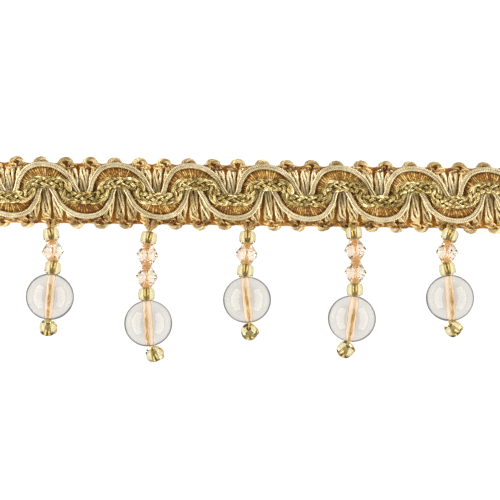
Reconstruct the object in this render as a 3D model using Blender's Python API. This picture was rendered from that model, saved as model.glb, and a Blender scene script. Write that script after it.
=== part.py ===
"""A cut length of scroll gimp braid with five beaded drops, lying flat with its back down.

X runs along the braid, Y from the drops towards the heading, and Z is up. Sizes are in metres, from values in
millimetres. The braid's line, where the cords' arches have their feet, is y = 0 while the pieces are made; the
parent empty then brings the middle of the whole part's footprint to the origin.
"""

import math

import bmesh
import bpy
import numpy as np
from mathutils import Matrix, Vector

MM = 0.001
CLEARANCE = 0.3 * MM

# Repeats: one loop at each edge every sixth of an inch, one arch every third loop, one drop every fourth.
LOOP_PITCH = 25.4 * MM / 6
ARCH_PITCH = 3 * LOOP_PITCH
DROP_PITCH = 4 * LOOP_PITCH
LOOP_COUNT = 23
BRAID_LENGTH = LOOP_COUNT * LOOP_PITCH

# The ground braid: legs side by side, looped at both edges. Its outline reaches further at the drops' edge.
LEG_PITCH = LOOP_PITCH / 2
TOP_REACH = 5.65 * MM
BOTTOM_REACH = 6.35 * MM
LOOP_HEIGHT = 1.25 * MM
LOOP_WIDTH = 2.85 * MM
LEG_CREST = 1.2 * MM
LEG_VALLEY = 0.6 * MM
LEG_FULLNESS = 1.16
CHAIN_WIDTH = 0.9 * MM
CHAIN_HEIGHT = 0.95 * MM
CHAIN_DIP = 0.1 * MM
LOOP_THICKNESS = 0.7 * MM
LOOP_CROWN = 0.15 * MM
COLUMNS_PER_LOOP = 6

# The edge cords and what lies between and over them.
CORD_DIAMETER = 0.85 * MM
CORD_SIDES = 6
CORD_LEVEL = LEG_CREST + CLEARANCE + CORD_DIAMETER / 2
RIBBON_BACK = LEG_CREST + CLEARANCE
RIBBON_THICKNESS = 0.45 * MM
RIBBON_RIB = 0.16 * MM
RIBBON_INSET = CORD_DIAMETER / 2 + CLEARANCE
PLAIT_BACK = CORD_LEVEL + CORD_DIAMETER / 2 + CLEARANCE
PLAIT_WIDTH = 2.15 * MM
PLAIT_THICKNESS = 0.55 * MM
PLAIT_CROSSING = 1.2 * MM
PLAIT_SHOULDER = 0.33 * MM
PLAIT_RELIEF = 0.14 * MM
PLAIT_SPREAD = 0.08 * MM
PLAIT_BEND = 1.3 * MM
PLAIT_RISE_X = -2.8 * MM
PLAIT_FALL_X = 3.4 * MM
CORD_STEPS_PER_ARCH = 16
RIBS_PER_ARCH = 12
FIRST_ARCH = -4.0
LAST_ARCH = 3.5

# One repeat of the upper cord, from one foot to the next. Turn is the share of a repeat and 0 at the crown.
CORD_ROUTE = (
    # turn, x from the arch's middle in mm, y in mm
    (-0.50, -6.35, -1.10),
    (-0.38, -5.62, -0.72),
    (-0.28, -5.10, 0.20),
    (-0.20, -4.72, 1.70),
    (-0.12, -3.45, 3.62),
    (-0.03, -1.20, 4.42),
    (0.06, 1.50, 4.05),
    (0.15, 3.62, 2.62),
    (0.24, 4.78, 0.80),
    (0.30, 5.25, 0.00),
    (0.39, 5.72, -0.76),
)

# Beads: across is square to the hole, along is the stretch of thread that each takes up.
SEED_ACROSS = 2.8 * MM
SEED_ALONG = 2.1 * MM
SEED_CORNER = 0.35 * MM
BICONE_ACROSS = 3.95 * MM
BICONE_ALONG = 3.85 * MM
BICONE_BELT = 0.3 * MM
BICONE_LIP = 0.3 * MM
ROUND_ACROSS = 8.2 * MM
ROUND_ALONG = 7.85 * MM
ROUND_LIP = 0.25 * MM
ROUND_RINGS = 7
HOLE = 1.1 * MM
SEED_SIDES = 8
BICONE_SIDES = 8
ROUND_SIDES = 14

# Threads: doubled through the beads, single where they turn round the end seed.
THREAD_DIAMETER = 0.5 * MM
TURN_DIAMETER = 0.3 * MM
THREAD_SIDES = 5
ROOT_Y = -5.4 * MM
ROOT_LEVEL = LOOP_THICKNESS + CLEARANCE + THREAD_DIAMETER
ROUND_RISE = math.radians(4)

# Each drop: where its first bead begins, with x from the loop that holds it, in mm, and each bead with how far
# it leans from straight down towards +X, in degrees. The end seed is placed from the round bead's lower hole, in
# mm, and end_hole is the way that its own hole points.
DROPS = (
    dict(
        start=(-0.27, -6.70, 1.60),
        beads=(("seed", 9), ("bicone", 7), ("seed", -7), ("round", -4)),
        end_place=(-0.15, -1.45, -1.85),
        end_hole=(-0.10, -0.85, -0.55),
    ),
    dict(
        start=(-0.12, -7.05, 1.60),
        beads=(("seed", -9), ("bicone", -1), ("bicone", 0), ("seed", 2), ("round", 5)),
        end_place=(0.70, -1.40, -1.85),
        end_hole=(0.30, -0.90, -0.40),
    ),
    dict(
        start=(-0.24, -6.75, 1.60),
        beads=(("seed", -1), ("bicone", -3), ("seed", -4), ("round", 6)),
        end_place=(0.05, -1.60, -1.70),
        end_hole=(0.10, -0.55, -0.80),
    ),
    dict(
        start=(0.94, -5.70, 2.55),
        beads=(("seed", 5), ("bicone", 5), ("bicone", -3), ("seed", 1), ("round", -7)),
        end_place=(-0.50, -1.45, -1.85),
        end_hole=(-0.45, -0.65, -0.60),
    ),
    dict(
        start=(0.90, -5.95, 2.55),
        beads=(("seed", -20), ("bicone", -4), ("seed", 11), ("round", 4)),
        end_place=(0.45, -1.35, -1.95),
        end_hole=(0.60, -0.60, -0.55),
    ),
)

# The thread from the end seed's near mouth: through it, round its far end and back beside it.
TURN_ROUTE = (
    # along the seed's hole in mm, aside from it in mm
    (-1.00, 0.00),
    (1.05, 0.00),
    (1.40, 0.30),
    (1.50, 0.90),
    (1.28, 1.62),
    (0.65, 1.86),
    (-0.55, 1.86),
)


def clear_scene():
    """Remove every object of the open file."""
    for item in list(bpy.data.objects):
        bpy.data.objects.remove(item, do_unlink=True)


def finish(name, colour, roughness, metallic=0.0, transmission=0.0):
    """A plain material with the piece's colour."""
    material = bpy.data.materials.new(name)
    material.use_nodes = True
    shader = material.node_tree.nodes["Principled BSDF"]
    shader.inputs["Base Color"].default_value = (*colour, 1.0)
    shader.inputs["Roughness"].default_value = roughness
    shader.inputs["Metallic"].default_value = metallic
    shader.inputs["Transmission Weight"].default_value = transmission
    material.diffuse_color = (*colour, 1.0)
    return material


def make_mesh(name, points, faces):
    """A mesh from points and faces, its faces turned outwards and its soft edges smooth."""
    mesh = bpy.data.meshes.new(name)
    mesh.from_pydata([tuple(point) for point in points], [], faces)
    shape = bmesh.new()
    shape.from_mesh(mesh)
    bmesh.ops.recalc_face_normals(shape, faces=shape.faces)
    shape.to_mesh(mesh)
    shape.free()
    mesh.shade_smooth()
    mesh.set_sharp_from_angle(angle=math.radians(40))
    return mesh


def place(name, mesh, material, parent, matrix=None):
    """One named object under the parent, with its material."""
    item = bpy.data.objects.new(name, mesh)
    bpy.context.scene.collection.objects.link(item)
    if not mesh.materials:
        mesh.materials.append(material)
    item.parent = parent
    if matrix is not None:
        item.matrix_local = matrix
    return item


def smooth_route(rows, turns, pitch):
    """Points of a repeating route: a cubic through its rows, each repeat moved on by the pitch."""
    table = np.array(rows)
    repeats = np.arange(-1, 3)[:, None]
    knots = (table[None, :, 0] + repeats).ravel()
    across = (table[None, :, 1] * MM + repeats * pitch).ravel()
    along = np.tile(table[:, 2] * MM, len(repeats))
    whole = np.floor(turns - knots[len(table)])
    local = turns - whole
    index = np.clip(np.searchsorted(knots, local, side="right") - 1, 1, len(knots) - 3)
    share = (local - knots[index]) / (knots[index + 1] - knots[index])
    result = []
    for values in (across, along):
        slope = (values[2:] - values[:-2]) / (knots[2:] - knots[:-2])
        span = knots[index + 1] - knots[index]
        start, end = values[index], values[index + 1]
        result.append((2 * share**3 - 3 * share**2 + 1) * start
                      + (share**3 - 2 * share**2 + share) * span * slope[index - 1]
                      + (3 * share**2 - 2 * share**3) * end
                      + (share**3 - share**2) * span * slope[index])
    return np.stack([result[0] + whole * pitch, result[1]], axis=1)


def even_turns(per_arch):
    """Where along the braid, in arches, its cords, ribbon and plait have their points."""
    return np.linspace(FIRST_ARCH, LAST_ARCH, round((LAST_ARCH - FIRST_ARCH) * per_arch) + 1)


def upper_cord_line(turns):
    """The upper cord's middle line, its first crown a quarter of an arch to the right of the middle."""
    return smooth_route(CORD_ROUTE, turns, ARCH_PITCH) + np.array([ARCH_PITCH / 4, 0.0])


def lower_cord_line(turns):
    """The upper cord's line turned half round about the origin."""
    return -upper_cord_line(-turns - 0.5)


def side_of(line):
    """Unit vectors to the right of a line as it runs."""
    run = np.gradient(line, axis=0)
    run /= np.linalg.norm(run, axis=1)[:, None]
    return np.stack([run[:, 1], -run[:, 0]], axis=1)


def even_steps(line, step):
    """The same line with points at even distances."""
    lengths = np.linalg.norm(np.diff(line, axis=0), axis=1)
    distance = np.concatenate([[0.0], np.cumsum(lengths)])
    wanted = np.linspace(0.0, distance[-1], int(round(distance[-1] / step)) + 1)
    return np.stack([np.interp(wanted, distance, line[:, axis]) for axis in range(line.shape[1])], axis=1)


def swept_faces(rings, sides):
    """Quads between rings of points, with a flat cap at both ends."""
    faces = []
    for ring in range(rings - 1):
        for side in range(sides):
            first = ring * sides + side
            second = ring * sides + (side + 1) % sides
            faces.append((first, second, second + sides, first + sides))
    faces.append(tuple(range(sides - 1, -1, -1)))
    faces.append(tuple(range((rings - 1) * sides, rings * sides)))
    return faces


def flat_sweep(name, line, rows):
    """A section carried along a level line. rows[ring, side] are distances to the right of it and heights."""
    right = side_of(line)
    points = np.zeros((len(line), rows.shape[1], 3))
    points[:, :, :2] = line[:, None, :] + right[:, None, :] * rows[:, :, :1]
    points[:, :, 2] = rows[:, :, 1]
    return make_mesh(name, points.reshape(-1, 3), swept_faces(len(line), rows.shape[1]))


def ground_braid_mesh():
    """A slab with its legs as ridges between two rows of chain stitch, its outline scalloped by the loops."""
    columns = LOOP_COUNT * COLUMNS_PER_LOOP + 1
    x = np.linspace(-BRAID_LENGTH / 2, BRAID_LENGTH / 2, columns)
    leg = np.abs(np.sin(np.pi * x / LEG_PITCH))
    crest = LEG_VALLEY + (LEG_CREST - LEG_VALLEY) * np.minimum(1.0, leg * LEG_FULLNESS)
    chain = CHAIN_HEIGHT - CHAIN_DIP * (1 - leg)
    loop = np.full(columns, LOOP_THICKNESS)

    def scallop(first_middle):
        from_middle = (x - first_middle + LOOP_PITCH / 2) % LOOP_PITCH - LOOP_PITCH / 2
        return LOOP_HEIGHT * np.sqrt(np.clip(1 - (2 * from_middle / LOOP_WIDTH) ** 2, 0, 1))

    def half(reach, first_middle, away):
        root = reach - LOOP_HEIGHT
        edge = root + scallop(first_middle)
        chain_middle = np.full(columns, root - CHAIN_WIDTH / 2)
        chain_end = np.full(columns, root - CHAIN_WIDTH)
        middle = (edge + chain_middle) / 2
        rows = ((edge, loop), (middle, loop + LOOP_CROWN), (chain_middle, chain), (chain_end, crest))
        return [(away * y, z) for y, z in rows]

    top_rows = half(TOP_REACH, LOOP_PITCH / 2, 1)
    bottom_rows = half(BOTTOM_REACH, 0.0, -1)
    rows = bottom_rows + [(np.zeros(columns), crest)] + top_rows[::-1]
    rows += [(top_rows[0][0], np.zeros(columns)), (bottom_rows[0][0], np.zeros(columns))]
    points = np.array([[x, y, z] for y, z in rows]).transpose(2, 0, 1)
    return make_mesh("ground_braid", points.reshape(-1, 3), swept_faces(columns, len(rows)))


def cord_mesh(name, line):
    """A round cord along a level line."""
    angle = np.arange(CORD_SIDES) * 2 * math.pi / CORD_SIDES
    radius = CORD_DIAMETER / 2
    ring = np.stack([-radius * np.cos(angle), CORD_LEVEL + radius * np.sin(angle)], axis=1)
    return flat_sweep(name, line, np.repeat(ring[None], len(line), axis=0))


def ribbon_mesh(turns):
    """A ribbon from beside one cord to beside the other, its top ribbed from edge to edge."""
    upper = upper_cord_line(turns)
    lower = lower_cord_line(turns)
    upper_edge = upper + side_of(upper) * RIBBON_INSET
    lower_edge = lower - side_of(lower) * RIBBON_INSET
    thickness = RIBBON_THICKNESS + RIBBON_RIB * (np.arange(len(turns)) % 2)
    middle = (upper_edge + lower_edge) / 2
    back = np.zeros(len(turns))
    section = ((upper_edge, back), (upper_edge, thickness), (middle, thickness), (lower_edge, thickness),
               (lower_edge, back))
    rings = np.stack([np.column_stack([place, RIBBON_BACK + level]) for place, level in section], axis=1)
    return make_mesh("amber_ribbon", rings.reshape(-1, 3), swept_faces(len(turns), len(section)))


def plait_line():
    """A near-square wave of quarter circles and level runs, with a crest under each upper arch."""
    quarter = np.linspace(0, math.pi / 2, 10)
    rise = PLAIT_BEND * np.stack([1 - np.cos(quarter), np.sin(quarter)], axis=1)
    crest_start = rise + [PLAIT_RISE_X, 0.0]
    crest_end = rise[::-1] * [-1, 1] + [PLAIT_FALL_X, 0.0]
    trough_start = rise * [1, -1] + [PLAIT_FALL_X, 0.0]
    trough_end = rise[::-1] * [-1, -1] + [PLAIT_RISE_X + ARCH_PITCH, 0.0]
    wave = np.concatenate([crest_start, crest_end[:-1], trough_start, trough_end[:-1]])
    arches = np.arange(math.floor(FIRST_ARCH), math.ceil(LAST_ARCH))
    middles = (arches + 0.25) * ARCH_PITCH
    line = np.concatenate([wave + [middle, 0.0] for middle in middles])
    line = even_steps(line, PLAIT_CROSSING / 8)
    first, last = (FIRST_ARCH + 0.25) * ARCH_PITCH, (LAST_ARCH + 0.25) * ARCH_PITCH
    return line[(line[:, 0] > first) & (line[:, 0] < last)]


def plait_mesh():
    """A flat plait: its two sides rise and spread in turn where the strands cross."""
    line = even_steps(plait_line(), PLAIT_CROSSING / 2)
    swing = np.where(np.arange(len(line)) % 2 == 0, 1.0, -1.0)
    left = -PLAIT_WIDTH / 2 + PLAIT_SPREAD * (1 - swing)
    right = PLAIT_WIDTH / 2 - PLAIT_SPREAD * (1 + swing)
    back = np.full(len(line), PLAIT_BACK)
    crown = back + PLAIT_THICKNESS
    shoulder = back + PLAIT_SHOULDER
    section = ((left + PLAIT_SPREAD, back), (left, shoulder + PLAIT_RELIEF * swing),
               (2 * PLAIT_SPREAD * swing, crown), (right, shoulder - PLAIT_RELIEF * swing),
               (right - PLAIT_SPREAD, back))
    rows = np.stack([np.column_stack(point) for point in section], axis=1)
    return flat_sweep("centre_plait", line, rows)


def bead_mesh(name, profile, sides):
    """A closed profile, bore included, turned about Z. Each row of it is a radius and a height."""
    angle = np.arange(sides) * 2 * math.pi / sides
    profile = np.array(profile)
    points = np.zeros((sides, len(profile), 3))
    points[:, :, 0] = np.cos(angle)[:, None] * profile[:, 0]
    points[:, :, 1] = np.sin(angle)[:, None] * profile[:, 0]
    points[:, :, 2] = profile[:, 1]
    rows = len(profile)
    faces = []
    for side in range(sides):
        following = (side + 1) % sides
        for row in range(rows):
            after = (row + 1) % rows
            faces.append((side * rows + row, following * rows + row, following * rows + after, side * rows + after))
    return make_mesh(name, points.reshape(-1, 3), faces)


def bead_meshes():
    """One mesh for each kind of bead, shorter than its stretch of thread by the clearance to the next bead."""
    bore = HOLE / 2
    end = (SEED_ALONG - CLEARANCE) / 2
    side = SEED_ACROSS / 2
    seed = ((bore, -end), (side - SEED_CORNER, -end), (side, -end + SEED_CORNER),
            (side, end - SEED_CORNER), (side - SEED_CORNER, end), (bore, end))
    end = (BICONE_ALONG - CLEARANCE) / 2
    side = BICONE_ACROSS / 2
    bicone = ((bore, -end), (bore + BICONE_LIP, -end), (side, -BICONE_BELT / 2),
              (side, BICONE_BELT / 2), (bore + BICONE_LIP, end), (bore, end))
    end = (ROUND_ALONG - CLEARANCE) / 2
    side = ROUND_ACROSS / 2
    first = math.asin((bore + ROUND_LIP) / side)
    angles = np.linspace(math.pi - first, first, ROUND_RINGS)
    ball = [(side * math.sin(angle), end * math.cos(angle) / math.cos(first)) for angle in angles]
    ball = [(bore, -end), *ball, (bore, end)]
    return {
        "seed": bead_mesh("seed", seed, SEED_SIDES),
        "bicone": bead_mesh("bicone", bicone, BICONE_SIDES),
        "round": bead_mesh("round", ball, ROUND_SIDES),
    }


def way(lean, rise):
    """The direction down a drop: leaning towards +X in plan, rising from the table."""
    return Vector((math.sin(lean) * math.cos(rise), -math.cos(lean) * math.cos(rise), math.sin(rise)))


def turned_to(direction, middle):
    """A matrix that points Z along the direction, with the origin at the middle."""
    turn = Vector(direction).to_track_quat("Z", "Y").to_matrix().to_4x4()
    return Matrix.Translation(middle) @ turn


def resting_level(mesh, direction):
    """How high a bead's middle lies when it touches the table, its hole along the direction."""
    turn = turned_to(direction, Vector())
    return -min((turn @ vertex.co).z for vertex in mesh.vertices)


def tube_mesh(name, points, radii):
    """A round tube through 3-D points, each ring carried on from the last without twist."""
    points = [Vector(point) for point in points]
    runs = [(after - before).normalized() for before, after in zip(points[:-1], points[1:])]
    rings = []
    side = runs[0].orthogonal().normalized()
    for index, point in enumerate(points):
        run = (runs[max(index - 1, 0)] + runs[min(index, len(runs) - 1)]).normalized()
        side = (side - run * side.dot(run)).normalized()
        other = run.cross(side)
        for step in range(THREAD_SIDES):
            angle = step * 2 * math.pi / THREAD_SIDES
            rings.append(point + (side * math.cos(angle) + other * math.sin(angle)) * radii[index])
    return make_mesh(name, rings, swept_faces(len(points), THREAD_SIDES))


def make_drop(number, row, meshes, materials, parent):
    """One drop: its beads in line from the braid's edge, its round bead on the table, and its thread."""
    loop_x = (number - (len(DROPS) + 1) / 2) * DROP_PITCH
    along = {"seed": SEED_ALONG, "bicone": BICONE_ALONG, "round": ROUND_ALONG}
    beads = row["beads"]
    mouth = Vector(row["start"]) * MM + Vector((loop_x, 0.0, 0.0))
    round_way = way(math.radians(beads[-1][1]), ROUND_RISE)
    round_mouth = resting_level(meshes["round"], round_way) - round_way.z * ROUND_ALONG / 2
    rise = math.asin((round_mouth - mouth.z) / sum(along[kind] for kind, _ in beads[:-1]))
    thread = [Vector((mouth.x, ROOT_Y, ROOT_LEVEL)), mouth.copy()]
    counts = {}
    for kind, lean in beads:
        direction = way(math.radians(lean), ROUND_RISE if kind == "round" else rise)
        middle = mouth + direction * along[kind] / 2
        counts[kind] = counts.get(kind, 0) + 1
        name = f"drop_{number}_{kind}_{counts[kind]}"
        place(name, meshes[kind], materials[kind], parent, turned_to(direction, middle))
        mouth = mouth + direction * along[kind]
        thread.append(mouth.copy())
    hole = Vector(row["end_hole"]).normalized()
    middle = mouth + Vector(row["end_place"]) * MM
    place(f"drop_{number}_end_seed", meshes["seed"], materials["seed"], parent, turned_to(hole, middle))
    aside = (Vector((1.0, 0.0, 0.0)) - hole * hole.x).normalized()
    turn = [middle + hole * (step[0] * MM) + aside * (step[1] * MM) for step in TURN_ROUTE]
    radii = [THREAD_DIAMETER / 2] * len(thread) + [TURN_DIAMETER / 2] * len(turn)
    mesh = tube_mesh(f"drop_{number}_thread", thread + turn, radii)
    place(f"drop_{number}_thread", mesh, materials["thread"], parent)


def centre_on_origin(parent):
    """Move the parent so that the part stands on z = 0 with its footprint's middle at the origin."""
    bpy.context.view_layer.update()
    corners = []
    for item in parent.children:
        points = np.empty(len(item.data.vertices) * 3)
        item.data.vertices.foreach_get("co", points)
        turned = points.reshape(-1, 3) @ np.array(item.matrix_world.to_3x3()).T
        corners.append(turned + np.array(item.matrix_world.translation))
    points = np.concatenate(corners)
    low, high = points.min(axis=0), points.max(axis=0)
    parent.location = (-(low[0] + high[0]) / 2, -(low[1] + high[1]) / 2, -low[2])


def build():
    """Make every piece of the trim."""
    clear_scene()
    parent = bpy.data.objects.new("trim", None)
    bpy.context.scene.collection.objects.link(parent)
    pale = finish("pale_gold_yarn", (0.58, 0.47, 0.24), 0.5)
    amber = finish("amber_ribbon_yarn", (0.30, 0.15, 0.04), 0.5)
    wrapped = finish("wrapped_cord", (0.62, 0.48, 0.30), 0.4)
    metallic = finish("metallic_plait", (0.40, 0.30, 0.09), 0.35, metallic=0.6)
    beads = {
        "seed": finish("pale_yellow_glass", (0.85, 0.72, 0.42), 0.1, transmission=0.6),
        "bicone": finish("faceted_peach_glass", (0.90, 0.70, 0.50), 0.05, transmission=0.8),
        "round": finish("clear_round_bead", (0.90, 0.88, 0.82), 0.05, transmission=0.9),
        "thread": finish("peach_thread", (0.70, 0.42, 0.20), 0.6),
    }
    turns = even_turns(CORD_STEPS_PER_ARCH)
    place("ground_braid", ground_braid_mesh(), pale, parent)
    place("amber_ribbon", ribbon_mesh(even_turns(2 * RIBS_PER_ARCH)), amber, parent)
    place("upper_edge_cord", cord_mesh("upper_edge_cord", upper_cord_line(turns)), wrapped, parent)
    place("lower_edge_cord", cord_mesh("lower_edge_cord", lower_cord_line(turns)), wrapped, parent)
    place("centre_plait", plait_mesh(), metallic, parent)
    meshes = bead_meshes()
    for number, row in enumerate(DROPS, start=1):
        make_drop(number, row, meshes, beads, parent)
    centre_on_origin(parent)


build()
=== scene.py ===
"""Looks of the beaded gimp fringe trim: its yarns, cords, plait, beads and threads, on a lit white table.

Shapes are worked out in millimetres in the part's frame. Band shapes have y = 0 on the line where the
cords' arches have their feet, and to_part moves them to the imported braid.
"""

import math

import bpy
import numpy as np
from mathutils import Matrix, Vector


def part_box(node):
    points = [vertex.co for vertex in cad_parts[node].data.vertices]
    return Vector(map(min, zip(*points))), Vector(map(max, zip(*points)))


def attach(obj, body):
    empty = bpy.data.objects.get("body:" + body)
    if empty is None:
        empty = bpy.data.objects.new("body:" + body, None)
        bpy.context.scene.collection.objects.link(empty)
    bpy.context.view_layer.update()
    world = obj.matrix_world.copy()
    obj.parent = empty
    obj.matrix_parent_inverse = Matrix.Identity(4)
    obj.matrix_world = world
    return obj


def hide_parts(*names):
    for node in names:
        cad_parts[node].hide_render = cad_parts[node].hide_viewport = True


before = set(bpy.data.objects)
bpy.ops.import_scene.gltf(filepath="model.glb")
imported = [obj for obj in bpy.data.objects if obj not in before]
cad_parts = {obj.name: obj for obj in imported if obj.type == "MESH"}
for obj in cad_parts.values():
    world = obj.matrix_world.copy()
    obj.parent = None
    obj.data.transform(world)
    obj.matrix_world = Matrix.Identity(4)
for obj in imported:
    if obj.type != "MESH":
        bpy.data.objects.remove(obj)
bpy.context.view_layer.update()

MM = 0.001
CHANCE = np.random.default_rng(11)
SHARP_ANGLE = math.radians(55)

# The braid's repeats and outline, as in the part.
LOOP_PITCH = 25.4 / 6
LEG_PITCH = LOOP_PITCH / 2
ARCH_PITCH = 3 * LOOP_PITCH
LOOP_COUNT = 23
BRAID_LENGTH = LOOP_COUNT * LOOP_PITCH
TOP_REACH = 5.65
BOTTOM_REACH = 6.35
FIRST_ARCH = -4.0
LAST_ARCH = 3.5
BAND_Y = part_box("ground_braid")[1].y / MM - TOP_REACH

# The photograph: where the band's origin falls in its 500 x 500 pixels, its scale and its turn.
PHOTO_PIXELS = 500
BAND_PIXEL = (249.6, 192.4)
PIXEL = LOOP_PITCH / 24.67
PHOTO_TURN = math.radians(0.74)

# Half of one leg of the ground yarn, from the braid's middle to the crown of the loop at its end.
LEG_ROUTE = (
    # share of the way, x towards the loop's middle, y, half spread of the plies, height, ply radius, in mm
    (0.00, 0.00, 0.00, 0.48, 0.72, 0.20),
    (0.28, 0.00, 1.60, 0.54, 0.74, 0.20),
    (0.53, 0.02, 3.00, 0.62, 0.74, 0.20),
    (0.66, 0.10, 3.72, 0.52, 0.68, 0.19),
    (0.75, 0.22, 4.22, 0.36, 0.60, 0.17),
    (0.82, 0.13, 4.66, 0.27, 0.54, 0.16),
    (0.90, 0.40, 5.06, 0.25, 0.50, 0.16),
    (1.00, LEG_PITCH / 2, 5.26, 0.25, 0.50, 0.16),
)
LEG_RINGS = 44
LEG_STRETCH_END = 3.0

# The soft loops stand a little past the part's edge, each by a chance of its own.
TOP_LOOP_PROUD = 0.13
BOTTOM_LOOP_PROUD = 0.24
LOOP_CHANCE = (-0.08, 0.06)

# Each leg stands a little aside near its middle, and all are drawn towards the feet of the cords' arches.
LEG_ASIDE = 0.10
LEG_ASIDE_FADE = (2.5, 4.0)
LEG_GATHER = 0.30
GATHER_START = -0.8
GATHER_LEVEL = 1.2
GATHER_END = 4.3

# The leg yarn's plies and their twist, which is slow in the legs and close in the loops.
PLIES = 5
PLY_DEPTH = 0.19
PLY_SIDES = 8
PLY_RELIEF = 0.10
PLY_TWIST_PITCH = 1.5
PLY_WANDER = 0.35
PLY_WANDER_RINGS = 16
LEG_TWIST_PITCH = 11.0
LOOP_TWIST_PITCH = 2.6
LOOP_TWIST_FADE = (3.7, 4.5)
LEG_TONES = (0.12, 1.12)
LEG_TONE_RINGS = 22
# Painted light and shade: upper legs lighter and lower ones darker, the other way round in the loops, and
# the loops darker still by painted shade.
LEG_SIDE_PAINTED_LIGHT = 0.15
LOOP_SHADE = 0.45

# The chain stitches that hold the legs, one for each leg at both edges.
CHAIN_ROWS = (4.12, -5.22)
CHAIN_PULL = 0.14
CHAIN_LENGTH = 1.66
CHAIN_HALF_WIDTH = 0.41
CHAIN_TAPER = 0.55
CHAIN_LOW = 0.40
CHAIN_HIGH = 1.12
CHAIN_ARC = (0.10, 0.82)
CHAIN_SHIFT = 0.10
CHAIN_SLANT = 0.30
CHAIN_THREAD = 0.17
CHAIN_RINGS = 26
CHAIN_SIDES = 8
CHAIN_RELIEF = 0.12
CHAIN_STEP = 0.22
CHAIN_TWIST_PITCH = 1.43
CHAIN_TONES = (0.0, 0.9)
# Painted highlights and shade: a swing of tone round each stitch, cream in two quarters and brown in the
# others.
CHAIN_PAINTED_GLINT_SWING = 0.4

# The amber ground cloth between the legs. Values for both edges are the lower's, then the upper's.
CLOTH_REACHES = (-5.72, 4.88)
CLOTH_SCALLOPS = (0.06, 0.26)
CLOTH_THICKNESS = 0.34
CLOTH_END_INSET = 0.25
CLOTH_STATIONS = 12 * LOOP_COUNT + 1
CLOTH_ROWS = 25
CLOTH_KNIT = 0.03
CLOTH_STITCH = 0.6
CLOTH_WALES = 6
CLOTH_TONE = 0.6
# Painted shade: the cloth darker at both edges, the upper one most, and in the loops' eyes, fading to its
# own tone inwards.
CLOTH_EDGE_PAINTED_SHADES = (0.50, 0.22)
CLOTH_EYE_PAINTED_SHADE = 0.18
CLOTH_EDGE_FADE = (0.9, 1.5)

# One repeat of the upper cord, as in the part. Turn is the share of a repeat and 0 at the crown.
CORD_ROUTE = (
    # turn, x from the arch's middle in mm, y in mm
    (-0.50, -6.35, -1.10),
    (-0.38, -5.62, -0.72),
    (-0.28, -5.10, 0.20),
    (-0.20, -4.72, 1.70),
    (-0.12, -3.45, 3.62),
    (-0.03, -1.20, 4.42),
    (0.06, 1.50, 4.05),
    (0.15, 3.62, 2.62),
    (0.24, 4.78, 0.80),
    (0.30, 5.25, 0.00),
    (0.39, 5.72, -0.76),
)
CORD_TURNS = 3000
CORD_LEVEL = 1.98
CORE_RADIUS = 0.25
CORE_OFFSET = 0.20
CORD_SIDES = 24
CORD_WRAP = 0.30
CORD_WRAP_STEPS = 4
CORD_WRAP_RELIEF = 0.010
CORD_WRAP_MEAN = 0.6
CORD_TONES = (0.50, 0.90)
CORD_TONE_RINGS = 50
# Painted shade: the cord darker on its steep flanks and in the groove between its cores, deepest where it
# runs up and down the band.
CORD_FLANK_PAINTED_SHADE = 0.30
CORD_GROOVE_ANGLE = 0.35
CORD_GROOVE_PAINTED_SHADES = (0.40, 1.05)

# The ribbed ribbon between the cords.
RIBBON_BACK = 1.22
RIBBON_EDGE = 1.34
RIBBON_CROWN = 0.58
RIBBON_ROUNDING = 0.6
RIBBON_INSET = 0.36
RIBBON_ROWS = 13
RIBS_PER_ARCH = 58
RIB_STEPS = 6
RIB_SLANT = 0.5
RIB_RELIEF = 0.11
RIB_LIFTS = (0.6, 1.2)
RIB_LAY = 0.6
# Painted light and shade: ribs lighter on their crests and darker between them, painted glints and dark
# flecks on the crests, and painted shade at the edges beside the cords. The tone also differs at random
# from rib to rib and along the ribbon.
RIB_TONES = (0.3, 1.0)
RIBBON_TONES = (-0.20, 0.15)
RIBBON_TONE_STEPS = 40
RIBBON_PAINTED_GLINTS = 0.45
RIBBON_EDGE_SHADE = 0.20

# The metallic plait: flat strands of fine threads that cross on a near-square wave.
PLAIT_BEND = 1.3
PLAIT_BEND_POINTS = 16
PLAIT_RISE_X = -2.8
PLAIT_FALL_X = 3.4
PLAIT_START = 0.25
PLAIT_STEP = 0.20
PLAIT_STRANDS = 5
PLAIT_CYCLE = 8.4
PLAIT_SWING = 0.84
PLAIT_LEVEL = 2.60
PLAIT_LIFT = 0.26
PLAIT_WANDER = 0.04
PLAIT_WANDER_RINGS = 9
PLAIT_THREADS = (-0.12, 0.12)
PLAIT_THREAD_RADIUS = 0.14
PLAIT_THREAD_ASIDE = 0.02
PLAIT_THREAD_LIFT = 0.03
PLAIT_THREAD_RINGS = 7
PLAIT_RELIEF = 0.10
PLAIT_TWIST_PITCH = 2.0
PLAIT_SIDES = 8
PLAIT_TONES = (0.1, 1.0)
PLAIT_TONE_RINGS = 8

# Beads, as in the part: across is square to the hole, along is the stretch of thread that each takes up.
# A chamfer at the hole is given across it and along it.
ALONG = {"seed": 2.1, "bicone": 3.85, "round": 7.85}
ACROSS = {"seed": 2.8, "bicone": 3.95, "round": 8.2}
BORE = {"seed": 0.38, "bicone": 0.42, "round": 0.55}
BEAD_GAP = 0.04
SEED_CHAMFER = (0.12, 0.10)
SEED_BULGE = 0.42
SEED_CORNER = 0.75
SEED_ROWS = 17
SEED_SEGMENTS = 40
ROUND_CHAMFER = (0.16, 0.10)
ROUND_ROWS = 97
ROUND_SEGMENTS = 144
ROUND_RISE = math.radians(4)

# A bicone's shoulder and bore coat are shares of half its length, and its rim is a share of a facet.
BICONE_FACETS = 8
BICONE_BELT = 0.24
BICONE_LIP = 0.36
BICONE_SHOULDER = 0.52
BICONE_DIP = 0.05
BICONE_RIM = 0.45
BICONE_BORE_COAT = 0.45

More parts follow.
